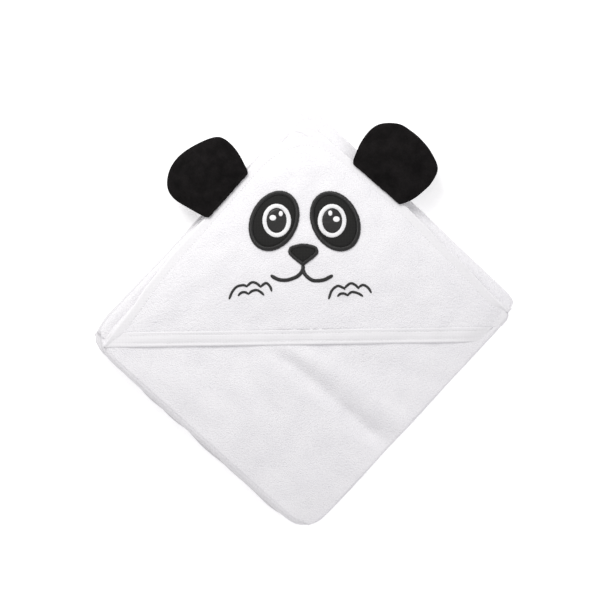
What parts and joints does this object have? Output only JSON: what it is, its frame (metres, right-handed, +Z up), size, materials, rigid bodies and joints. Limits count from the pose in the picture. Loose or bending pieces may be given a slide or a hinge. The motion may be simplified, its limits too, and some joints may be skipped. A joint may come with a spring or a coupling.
{
  "type": "hooded baby towel",
  "caption": "Terry towel square folded in three both ways, with a pocket hood on its top corner made as an animal face with two padded ears.",
  "frame": {"origin": "on the flat underside of the folded towel, near its middle", "axes": "+Z up out of the face side, +Y towards the hood's crown, +X towards the right ear as seen from above"},
  "size_m": [0.3614, 0.3626, 0.0348],
  "materials": {
    "white_terry": "looped terry pile",
    "white_binding": "matt woven tape",
    "black_ear_fabric": "matt brushed knit",
    "wadding": "loose fibre",
    "black_applique": "matt knit",
    "black_thread": "satin-stitched thread",
    "white_thread": "satin-stitched thread"
  },
  "bodies": {
    "back_third": {"back_third_end_hem": "white_binding", "back_third_side_hem_left": "white_binding", "back_third_side_hem_right": "white_binding", "back_third_terry": "white_terry"},
    "middle_third": {"middle_third_side_hem_left": "white_binding", "middle_third_side_hem_right": "white_binding", "middle_third_terry": "white_terry"},
    "front_third": {"front_third_end_hem": "white_binding", "front_third_side_hem_right": "white_binding", "front_third_terry": "white_terry"},
    "left_ear": {"left_ear_back_cover": "black_ear_fabric", "left_ear_front_cover": "black_ear_fabric", "left_ear_root_seam": "black_ear_fabric", "left_ear_wadding": "wadding"},
    "right_ear": {"right_ear_back_cover": "black_ear_fabric", "right_ear_front_cover": "black_ear_fabric", "right_ear_root_seam": "black_ear_fabric", "right_ear_wadding": "wadding"},
    "hood": {"hood_back_panel": "white_terry", "hood_front_panel": "white_terry", "hood_mouth_band": "white_binding", "hood_seam_tape_left": "white_binding", "hood_seam_tape_right": "white_binding", "left_cheek_tuft_lower": "black_thread", "left_cheek_tuft_upper": "black_thread", "left_eye_highlight_large": "white_thread", "left_eye_highlight_small": "white_thread", "left_eye_patch": "black_applique", "left_eye_patch_border": "black_thread", "left_eye_white": "white_thread", "left_pupil": "black_thread", "mouth_band_stitching_lower": "white_thread", "mouth_band_stitching_upper": "white_thread", "mouth_stitching": "black_thread", "nose": "black_applique", "nose_border": "black_thread", "right_cheek_tuft_lower": "black_thread", "right_cheek_tuft_upper": "black_thread", "right_eye_highlight_large": "white_thread", "right_eye_highlight_small": "white_thread", "right_eye_patch": "black_applique", "right_eye_patch_border": "black_thread", "right_eye_white": "white_thread", "right_pupil": "black_thread"}
  },
  "joints": [
    {"name": "back_fold", "type": "hinge", "parent": "back_third", "child": "middle_third", "pos_m": [0.09443, 0.09466, 0.00795], "axis": [-0.742, 0.6704, 0], "range_deg": [0, 180]},
    {"name": "front_fold", "type": "hinge", "parent": "middle_third", "child": "front_third", "pos_m": [-0.08458, -0.10345, 0.01605], "axis": [0.742, -0.6704, 0], "range_deg": [0, 180]},
    {"name": "hood_flap", "type": "hinge", "parent": "front_third", "child": "hood", "pos_m": [-0.176, -0.026, 0.029], "axis": [0.9999, 0.015, 0], "range_deg": [0, 150]},
    {"name": "left_ear_fold", "type": "hinge", "parent": "hood", "child": "left_ear", "pos_m": [-0.08263, 0.08634, 0.0279], "axis": [0.6655, 0.7464, 0], "range_deg": [0, 150]},
    {"name": "right_ear_fold", "type": "hinge", "parent": "hood", "child": "right_ear", "pos_m": [0.04236, 0.13611, 0.0279], "axis": [0.7551, -0.6556, 0], "range_deg": [0, 150]}
  ],
  "couplings": [
    {"joint": "front_fold", "follows": "back_fold", "ratio": 1}
  ]
}
